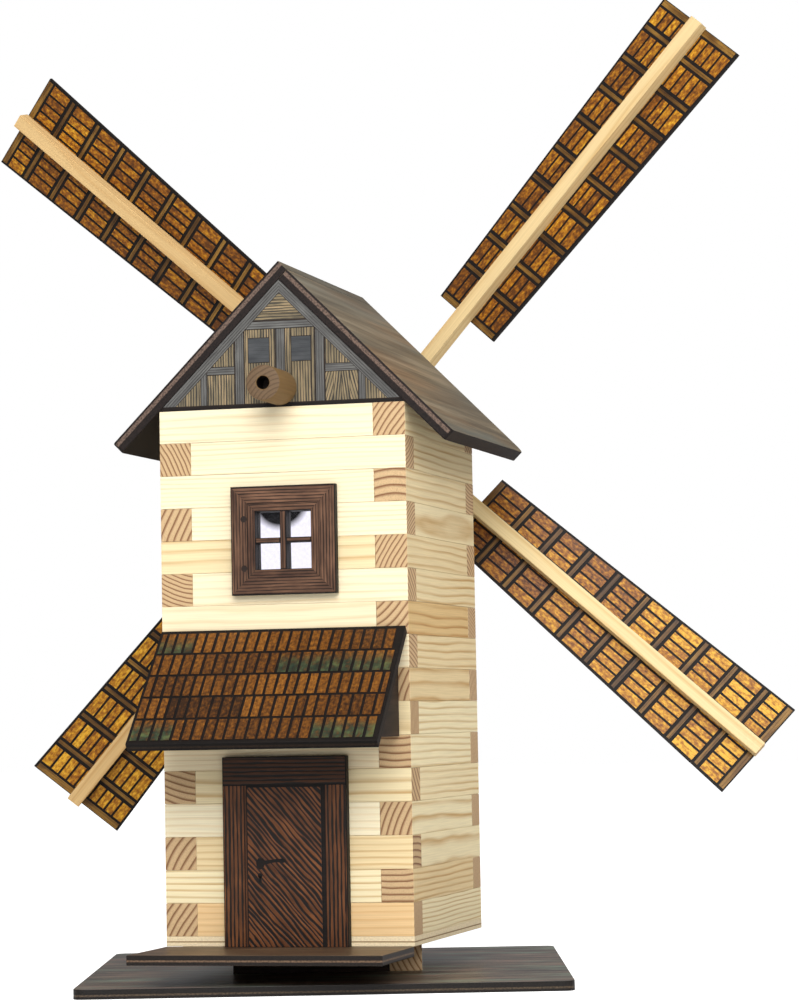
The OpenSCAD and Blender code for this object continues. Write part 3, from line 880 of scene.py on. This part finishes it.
def gable(name, facing):
    low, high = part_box(name)
    span = (high.x - low.x) / MM
    rise = (high.z - low.z) / MM
    thick = (high.y - low.y) / MM
    half_span = span / 2
    y = high.y if facing < 0 else low.y
    place = axes((0, y, low.z), (-facing, 0, 0), (0, facing, 0))
    triangle = [(-half_span, 0), (half_span, 0), (0, rise)]
    piece = new_piece()
    ground = thick - PROUD
    slab(piece, triangle, 0, ground, place, board_grain(), 0)
    lean = math.sqrt(0.5)

    def inside(outline, inset, gap=0.0):
        """Keeps an outline clear of the two rafters."""
        for s in (-1, 1):
            reach = (s * lean, lean)
            edge = (s * half_span - reach[0] * (inset + gap), -reach[1] * (inset + gap))
            outline = clip(outline, edge, reach)
        return outline

    for s in (-1, 1):
        strip = [(s * half_span, 0), (0, rise), (0, rise - RAFTER / lean),
                 (s * (half_span - RAFTER / lean), 0)]
        strip = clip(strip, (0, 1.3), (0, -1))
        plate(piece, strip if s < 0 else strip[::-1], thick, place, -s * 45, 1)
    members = [(-39, 39, 0.0, 0.9, 4, 0), (-20, 20, 24.0, 26.2, 1, 0),
               (-14.2, -11.6, 1.3, 23.8, 1, 90), (-1.2, 1.5, 1.3, 23.8, 1, 90),
               (11.4, 14.0, 1.3, 23.8, 1, 90), (-23.3, -14.6, 10.6, 12.8, 1, 0),
               (14.4, 24.6, 10.2, 12.4, 1, 0), (-25.4, -23.5, 1.3, 14, 1, 90),
               (24.8, 26.8, 1.3, 12.2, 1, 90), (-10, -3.4, 13.8, 21.2, 3, 0),
               (3.7, 9.8, 13.8, 21.2, 3, 0)]
    for x0, x1, y0, y1, slot, fibres in members:
        inset = 0.0 if slot == 4 else RAFTER
        plate(piece, inside(oblong(x0, x1, y0, y1), inset, 0.0 if slot == 4 else JOINT_LINE),
              thick, place, fibres, slot)
    panels = [(-11.2, -10.2, 1.3, 23.8), (-10.0, -3.4, 1.3, 13.6), (-10.0, -3.4, 21.4, 23.8),
              (-3.2, -1.6, 1.3, 23.8), (1.8, 3.5, 1.3, 23.8), (3.7, 9.8, 1.3, 13.6),
              (3.7, 9.8, 21.4, 23.8), (10.0, 11.0, 1.3, 23.8), (-23.3, -14.6, 1.3, 10.4),
              (-30, -14.6, 13.0, 24.0), (-39, -25.6, 1.3, 12), (14.4, 30, 12.6, 24.0),
              (27.0, 39, 1.3, 12)]
    for step, fan in enumerate((74, 83, 97, 106)):
        x0 = 14.4 + 2.55 * step
        plate(piece, oblong(x0, x0 + 2.45, 1.3, 10.0), thick - PLANK_DROP, place, fan, 2)
    for x0, x1, y0, y1 in panels:
        plate(piece, inside(oblong(x0, x1, y0, y1), RAFTER, JOINT_LINE), thick - PLANK_DROP,
              place, 90, 2, random.uniform(-0.06, 0.08))
    row = 26.6
    while row < rise - 5:
        plate(piece, inside(oblong(-14, 14, row, row + 2.0), RAFTER, JOINT_LINE),
              thick - PLANK_DROP, place, 0, 2, random.uniform(-0.05, 0.08))
        row += 2.12
    finish_piece(piece, name + "_drawn", [dark_ply, beam_wood, plank_wood, shutter_wood,
                                          char], "mill", "painted_ply", name)


gable("front_gable", -1)
gable("rear_gable", 1)
print("gables drawn")

# %% [markdown]
# ## Door
# The door is one board with posts, a head and a leaf of slanting planks burnt into it; the
# latch is a dark burnt bar.

# %% Door
low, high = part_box("door_board")
door_w, door_h = (high.x - low.x) / MM, (high.z - low.z) / MM
door_t = (high.y - low.y) / MM
door_place = axes((0, high.y, low.z), (1, 0, 0), (0, -1, 0))
piece = new_piece()
w = door_w / 2
slab(piece, oblong(-w, w, 0, door_h), 0, door_t - PROUD, door_place, board_grain(), 0,
     ease_by=0.12)
HEAD = 8.3
LINE = 0.35
DOOR_RIM = 0.3
SILL = 0.1
leaf_left, leaf_right = -11.7, 11.4
post_top = door_h - HEAD - LINE
# From left to right and bottom to top, how far it lies below the face, fibres, wood, shade
parts = [(-w + DOOR_RIM, w - DOOR_RIM, door_h - HEAD, door_h - DOOR_RIM, 0.0, 0, 1, -0.3),
         (-w + DOOR_RIM, leaf_left - 1.1, SILL, post_top, 0.0, 90, 1, 0.0),
         (leaf_right + 1.5, w - DOOR_RIM, SILL, post_top, 0.0, 90, 1, 0.0),
         (leaf_left, leaf_right, SILL, door_h - HEAD - 0.9, 0.05, -49, 2, 0.0),
         (leaf_left - 0.8, leaf_left - 0.3, SILL, post_top, 0.02, 90, 1, -0.2)]
for x0, x1, y0, y1, drop, fibres, slot, shade in parts:
    plate(piece, oblong(x0, x1, y0, y1), door_t - drop, door_place, fibres, slot, shade)
latch = [(-8.9, 24.0), (-8.0, 23.2), (-6.9, 23.6), (-6.4, 24.7), (-3.0, 25.4), (-0.4, 25.2),
         (0.5, 25.7), (-0.3, 26.5), (-3.2, 26.3), (-6.3, 25.9), (-7.0, 26.7), (-8.4, 26.6),
         (-9.1, 25.5)]
keyhole = circle(0.75, -7.9, 21.4, 20)
key_slot = [(-8.4, 19.3), (-7.4, 19.3), (-7.6, 21.2), (-8.2, 21.2)]
for outline in (latch, keyhole, key_slot):
    slab(piece, outline, door_t - 0.2, door_t + 0.05, door_place, board_grain())
finish_piece(piece, "door_drawn", [char, jamb_wood, door_wood], "mill", "dark_ply",
             "door_board")
print("door:", round(door_w, 1), "by", round(door_h, 1), "mm")

# %% [markdown]
# ## Window
# Four mitred frame members, an inner sash and a cross, all with strokes along their length.
# The film shows through the four lights.

# %% Window
low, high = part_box("window_frame")
side = (high.x - low.x) / MM
thick = (high.y - low.y) / MM
centre = (low + high) / 2
window_place = axes((centre.x, high.y, centre.z), (1, 0, 0), (0, -1, 0))
piece = new_piece()
out, sash, light = side / 2, 11.3, 8.8
MULLION, TRANSOM = 2.0, 1.5
film_depth = 0.4
for k in range(4):
    quarter = Matrix.Rotation(k * math.pi / 2, 4, "Z")
    place = window_place @ quarter
    bar = [(-out, -out), (out, -out), (light, -light), (-light, -light)]
    slab(piece, bar, film_depth, thick - PROUD, place, board_grain(), 0)
    member = [(-out + 0.35, -out + 0.3), (out - 0.35, -out + 0.3),
              (sash + 0.15, -sash - 0.1), (-sash - 0.15, -sash - 0.1)]
    plate(piece, member, thick, place, 0, 1, random.uniform(-0.05, 0.06))
    inner = [(-sash + 0.15, -sash + 0.1), (sash - 0.15, -sash + 0.1),
             (light + 0.1, -light - 0.15), (-light - 0.1, -light - 0.15)]
    plate(piece, inner, thick - 0.04, place, 0, 1, random.uniform(-0.12, -0.02))
for x0, x1, y0, y1, fibres in ((-MULLION / 2, MULLION / 2, -light, light, 90),
                               (-light, -MULLION / 2, -TRANSOM / 2, TRANSOM / 2, 0),
                               (MULLION / 2, light, -TRANSOM / 2, TRANSOM / 2, 0)):
    slab(piece, oblong(x0, x1, y0, y1), film_depth, thick - PROUD - 0.1, window_place,
         board_grain(), 0)
    plate(piece, oblong(x0 + 0.25, x1 - 0.25, y0 + 0.2, y1 - 0.2), thick - 0.1,
          window_place, fibres, 1, -0.08)
for y in (-8.4, 6.6):
    slab(piece, circle(1.0, -12.4, y, 14), thick - 0.2, thick + 0.02, window_place,
         board_grain(), 2)
finish_piece(piece, "window_frame_drawn", [char, frame_wood, dark_ply], "mill",
             "dark_ply", "window_frame")

low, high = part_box("window_pane")
FILM_CELLS = 24
dish_mm = 0.26
film_mesh = bmesh.new()
bmesh.ops.create_grid(film_mesh, x_segments=FILM_CELLS, y_segments=FILM_CELLS, size=0.5)
for v in film_mesh.verts:
    u, t = v.co.x, v.co.y
    bow = dish_mm * (2 * u * u + 2 * t * t)
    v.co = Vector((low.x + (u + 0.5) * (high.x - low.x),
                   low.y + (0.05 + bow) * MM, low.z + (t + 0.5) * (high.z - low.z)))
thickness = (high.y - low.y) - (0.05 + dish_mm) * MM
back = bmesh.ops.extrude_face_region(film_mesh, geom=list(film_mesh.faces))
bmesh.ops.translate(film_mesh, vec=(0, thickness * 0.9, 0),
                    verts=[v for v in back["geom"] if isinstance(v, bmesh.types.BMVert)])
bmesh.ops.recalc_face_normals(film_mesh, faces=film_mesh.faces)
for face in film_mesh.faces:
    face.smooth = True
finish_piece(film_mesh, "window_film", [film], "mill", "pane_film", "window_pane")
print("window:", round(side, 1), "mm")

# %% [markdown]
# ## Porch
# The doorstep board slides in under the floor, notched at its back corners. Two three-cornered
# brackets stand under the porch roof.

# %% Porch board and brackets
low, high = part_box("porch_board")
step_t = (high.z - low.z) / MM
step_place = axes((0, low.y, low.z), (1, 0, 0), (0, 0, 1))
wall_y = (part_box("log_course_01")[0].y - low.y) / MM
NOTCH = 5.0
NOTCH_GAP = 0.5
w = (high.x - low.x) / 2 / MM
deep = (high.y - low.y) / MM
shape = [(-w, 0), (w, 0), (w, wall_y - NOTCH_GAP), (w - NOTCH, wall_y - NOTCH_GAP),
         (w - NOTCH, deep), (-w + NOTCH, deep), (-w + NOTCH, wall_y - NOTCH_GAP),
         (-w, wall_y - NOTCH_GAP)]
piece = new_piece()
slab(piece, shape, 0, step_t, step_place, board_grain(), 0, ease_by=0.25)
finish_piece(piece, "porch_board_stained", [porch_ply], "mill", "stained_ply",
             "porch_board")

for name in ("porch_bracket_left", "porch_bracket_right"):
    low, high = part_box(name)
    place = axes((low.x, high.y, low.z), (0, -1, 0), (1, 0, 0))
    tall = (high.z - low.z) / MM
    reach = (high.y - low.y) / MM
    piece = new_piece()
    # Z of this space points along +X and its Y points down, so upward is negative.
    corners = [(0, 0), (reach, 0), (0, -tall)]
    slab(piece, corners, 0, (high.x - low.x) / MM, place, board_grain(), 0, ease_by=0.15)
    finish_piece(piece, name + "_stained", [dark_ply], "mill", "dark_ply", name)
print("porch board depth in mm:", round(deep, 2), "bracket height:", round(tall, 1))

# %% [markdown]
# ## Porch roof
# One board burnt with five rows of narrow tiles. Its tiles are separate plates too, with
# darker ones in runs and green growth on the lower ends of some, as on an old roof.

# %% Porch roof
low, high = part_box("porch_roof")
roof_w = (high.x - low.x) / MM
roof_t = 3.0
PORCH_PITCH = math.radians(45)
slope = ((high.z - low.z) / MM - roof_t * math.cos(PORCH_PITCH)) / math.sin(PORCH_PITCH)
down = Vector((0, -math.cos(PORCH_PITCH), -math.sin(PORCH_PITCH)))
outward = Vector((0, -math.sin(PORCH_PITCH), math.cos(PORCH_PITCH)))
# X runs across from left to right, Y up the slope, and the origin is the lower left corner.
upper_inner = Vector((low.x, high.y, high.z - roof_t * math.cos(PORCH_PITCH) * MM))
porch_place = axes(upper_inner + down * slope * MM, (1, 0, 0), outward)
piece = new_piece()
slab(piece, oblong(0, roof_w, 0, slope), 0, roof_t - PROUD, porch_place, board_grain(), 0,
     ease_by=0.2)
ROWS = 5
BORDER = 1.0
JOINT = 0.92
TILE_PITCH = 3.28
row_h = (slope - 2 * BORDER) / ROWS
for row in range(ROWS):
    y0 = slope - BORDER - (row + 1) * row_h + JOINT / 2
    y1 = slope - BORDER - row * row_h - JOINT / 2
    x = BORDER - JOINT / 2 - random.uniform(0, 0.3) * TILE_PITCH
    while x < roof_w - BORDER:
        wide = TILE_PITCH * random.uniform(0.9, 1.1)
        x0, x1 = max(x + JOINT / 2, BORDER), min(x + wide - JOINT / 2, roof_w - BORDER)
        across = (x0 + x1) / 2 / roof_w
        run_shade = 0.07 * math.sin(5 * across + 2.2 * row)
        if row == 3 and 0.14 < across < 0.44:
            run_shade = -0.2
        growth = 0.0
        if row == 0 and across < 0.17:
            growth = 0.8
        if row == 1 and across > 0.54:
            growth = random.uniform(0.9, 1.2)
        if row == 4 and (across < 0.16 or across > 0.72):
            growth = 1.1
        if x1 - x0 > 0.7:
            bow = random.uniform(-0.12, 0.12)
            outline = [(x0, y0), (x1 + bow, y0), (x1, y1), (x0 - bow, y1)]
            plate(piece, outline, roof_t, porch_place, 90, 1,
                  run_shade + random.uniform(-0.06, 0.06),
                  moss=lambda p, g=growth, b=y0, t=y1: g * (1 - 0.9 * (p.y - b) / (t - b)))
        x += wide
finish_piece(piece, "porch_roof_tiles", [char, tile_wood], "mill", "tile_ply",
             "porch_roof")
print("tile rows:", ROWS, "slope in mm:", round(slope, 1))

# %% [markdown]
# ## Axle, knob, spacer and hub
# A 4 mm dowel runs from the knob to the hub. The knob has an open socket drilled in its
# front end, its inside painted near-black as painted shade. The spacer keeps the hub clear
# of the roof, and the hub is a block of pine.

# %% Axle line
axle_low, axle_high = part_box("sail_axle")
axle_z = (axle_low.z + axle_high.z) / 2
AXLE_R = (axle_high.z - axle_low.z) / 2 / MM


def on_axle(y):
    """X of this space runs back along the axle from y."""
    return axes((0, y, axle_z), (0, 1, 0), (0, 0, 1))


length = (axle_high.y - axle_low.y) / MM
piece = new_piece()
turned(piece, [(0, 0), (0, AXLE_R), (length - 0.3, AXLE_R), (length, AXLE_R - 0.3),
               (length, 0)], on_axle(axle_low.y), sawn_grain(1.2, (1, 3)))
finish_piece(piece, "axle_dowel", [spar_pine], "sails", "bare_wood", "sail_axle")

SOCKET_R = 2.04
SOCKET_DEPTH = 6.5
RUB = 0.45
low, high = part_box("front_knob")
KNOB_R = (high.x - low.x) / 2 / MM
long = (high.y - low.y) / MM
axle_in = (axle_low.y - low.y) / MM
piece = new_piece()
turned(piece, [(SOCKET_DEPTH, 0), (SOCKET_DEPTH, SOCKET_R), (0.2, SOCKET_R),
               (0, SOCKET_R + 0.2), (0, KNOB_R - RUB), (0.13, KNOB_R - 0.13),
               (RUB, KNOB_R), (long - RUB, KNOB_R), (long, KNOB_R - RUB), (long, AXLE_R),
               (axle_in, AXLE_R), (axle_in, 0)], on_axle(low.y),
       sawn_grain(1.0, (9, 14), 0.6), tint=0.3)
# The socket's inside takes the charred colour: painted shade in the hole.
for face in piece.faces:
    place = face.calc_center_median()
    if math.hypot(place.x, place.z - axle_z) < SOCKET_R * MM:
        face.material_index = 1
finish_piece(piece, "knob_dowel", [stained_dowel, char], "sails", "stained_dowel",
             "front_knob")

low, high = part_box("rear_spacer")
long = (high.y - low.y) / MM
piece = new_piece()
turned(piece, [(0, AXLE_R), (0, KNOB_R - RUB), (RUB, KNOB_R), (long, KNOB_R),
               (long, AXLE_R), (0, AXLE_R)], on_axle(low.y), sawn_grain(1.0, (9, 14)))
finish_piece(piece, "spacer_dowel", [stained_dowel], "sails", "stained_dowel",
             "rear_spacer")

SAIL_ANGLE = math.radians(48.7)
SAIL_PITCH = math.radians(17)
SPAR_OFFSET = 2.0
HUB_SIDE = 26.0
hub_low, hub_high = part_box("sail_hub")
hub_y = (hub_low.y + hub_high.y) / 2
hub_spin = Matrix.Rotation(-SAIL_ANGLE, 4, "Y")
piece = new_piece()
hub_place = axes((0, hub_y, axle_z), hub_spin @ Vector((1, 0, 0)),
                 hub_spin @ Vector((0, 0, 1)))
stick(piece, (HUB_SIDE, (hub_high.y - hub_low.y) / MM, HUB_SIDE), hub_place,
      sawn_grain(1.0, (20, 30), 0.3), tint=0.35, ease_by=0.6)
finish_piece(piece, "hub_block", [log_pine], "sails", "bare_wood", "sail_hub")
print("axle height in mm:", round(axle_z / MM, 1))

# %% [markdown]
# ## Sails
# Each sail is a spar with a tapered 1.5 mm board glued behind it. The board is drawn as a
# lattice: cross battens every 12.4 mm, each between two burnt lines, and lengthwise slats
# between them. Slats and battens are plates on both faces of the charred board.

# %% Sails
SPAR_SIDE = 4.8
SPAR_FROM, SPAR_TO = 5.0, 169.5
BOARD_FROM, BOARD_TO = 44.5, 169.0
HALF_IN, HALF_OUT = 13.7, 18.2
BOARD_T = 1.5
SAIL_PROUD = 0.12
CELL = 12.4
SLAT = 3.45
BURN = 0.78
RIM = 0.85


def half_width(x):
    return HALF_IN + (HALF_OUT - HALF_IN) * (x - BOARD_FROM) / (BOARD_TO - BOARD_FROM)


def lattice(target, place, top, tone_and_light, outward_light):
    """The drawn lattice of one face, on both sides of the spar. The first shade number darkens
    or pales the whole face and the second pales it towards the tip: partly the stain's own
    variation and partly painted light.
    """
    taper = Vector((BOARD_TO - BOARD_FROM, HALF_OUT - HALF_IN)).normalized()

    def member(x0, x1, y0, y1, side, slot, tint, fibres):
        outline = clip(oblong(x0, x1, y0, y1), (BOARD_FROM, HALF_IN - RIM),
                       (-taper.y, taper.x))
        spans = [p[1] for p in outline]
        if len(outline) < 3 or max(spans) - min(spans) < 0.5:
            return
        outline = [(x, side * y) for x, y in outline]
        if side < 0:
            outline.reverse()
        slab(target, outline, top - SAIL_PROUD - SUNK, top, place, board_grain(fibres),
             slot, tint)

    for side in (-1, 1):
        shift = 0.7 * side
        member(BOARD_FROM + 0.25, BOARD_FROM + 2.1, 0.1, 20, side, 2, 0.05, 90)
        member(BOARD_TO - 2.3, BOARD_TO - 0.3, 0.1, 20, side, 2, 0.12, 90)
        x = BOARD_FROM + 2.9
        first = True
        while x < BOARD_TO - 4.5:
            start = x if first else x + shift
            end = min(x + CELL - 3.6 + shift, BOARD_TO - 3.2)
            if BOARD_TO - end < 6.0:
                end = BOARD_TO - 3.2
            room_for = half_width((start + end) / 2) - RIM
            slats = max(3, round(room_for / SLAT + 0.2))
            wide = room_for / slats
            for k in range(slats):
                tone = tone_and_light + outward_light * (x - BOARD_FROM) / (BOARD_TO - BOARD_FROM)
                tone += random.uniform(-0.09, 0.09)
                y = 0.1 + k * wide
                member(start, end, y, 20 if k == slats - 1 else y + wide - BURN, side, 1,
                       tone, 0)
            if end < BOARD_TO - 6:
                member(end + 1.1, end + 2.4, 0.1, 20, side, 2,
                       random.uniform(-0.12, 0.14), 90)
            x += CELL
            first = False


# Per sail: the face's tone and its paling towards the tip, partly the stain's own variation and
# partly painted light, as one sail and its tips catch more light than another.
SAIL_STAIN_AND_LIGHT = {1: (-0.13, 0.08), 2: (-0.13, 0.06), 3: (0.04, 0.05), 4: (-0.1, 0.26)}
SPAR_TINTS = {1: 0.2, 2: 0.5, 3: 0.5, 4: 0.0}
for number in range(1, 5):
    swing = -SAIL_ANGLE - (number - 1) * math.pi / 2
    beside = {2: SPAR_OFFSET, 4: -SPAR_OFFSET}.get(number, 0.0)
    at_spar = (Matrix.Translation((0, hub_y, axle_z)) @ Matrix.Rotation(swing, 4, "Y")
               @ Matrix.Translation((0, 0, beside * MM))
               @ Matrix.Rotation(-SAIL_PITCH, 4, "X"))
    piece = new_piece()
    middle = Matrix.Translation(((SPAR_FROM + SPAR_TO) / 2 * MM, 0, 0))
    stick(piece, (SPAR_TO - SPAR_FROM, SPAR_SIDE, SPAR_SIDE),
          at_spar @ middle @ Matrix.Scale(MM, 4), sawn_grain(1.0, (30, 60)),
          tint=SPAR_TINTS[number], ease_by=0.25)
    finish_piece(piece, f"spar_{number}_stick", [spar_pine], "sails", "bare_wood",
                 f"sail_spar_{number}")

    back = SPAR_SIDE / 2 + BOARD_T
    face_on = at_spar @ axes((0, back * MM, 0), (1, 0, 0), (0, -1, 0))
    shape = [(BOARD_FROM, -HALF_IN), (BOARD_TO, -HALF_OUT), (BOARD_TO, HALF_OUT),
             (BOARD_FROM, HALF_IN)]
    piece = new_piece()
    slab(piece, shape, SAIL_PROUD, BOARD_T - SAIL_PROUD, face_on, board_grain(), 0,
         ease_by=0.1)
    lattice(piece, face_on, BOARD_T, *SAIL_STAIN_AND_LIGHT[number])
    face_off = at_spar @ axes((0, (back - BOARD_T) * MM, 0), (1, 0, 0), (0, 1, 0))
    lattice(piece, face_off, BOARD_T, -0.05, 0.0)
    finish_piece(piece, f"sail_{number}_board", [char, slat_wood, batten_wood], "sails",
                 "sail_ply", f"sail_board_{number}")
print("sails built: 4")

# %% [markdown]
# ## Close
# The box of the finished model is measured. The finished model has to stay within the
# frame's box.

# %% Sizes and finish
low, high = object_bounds()
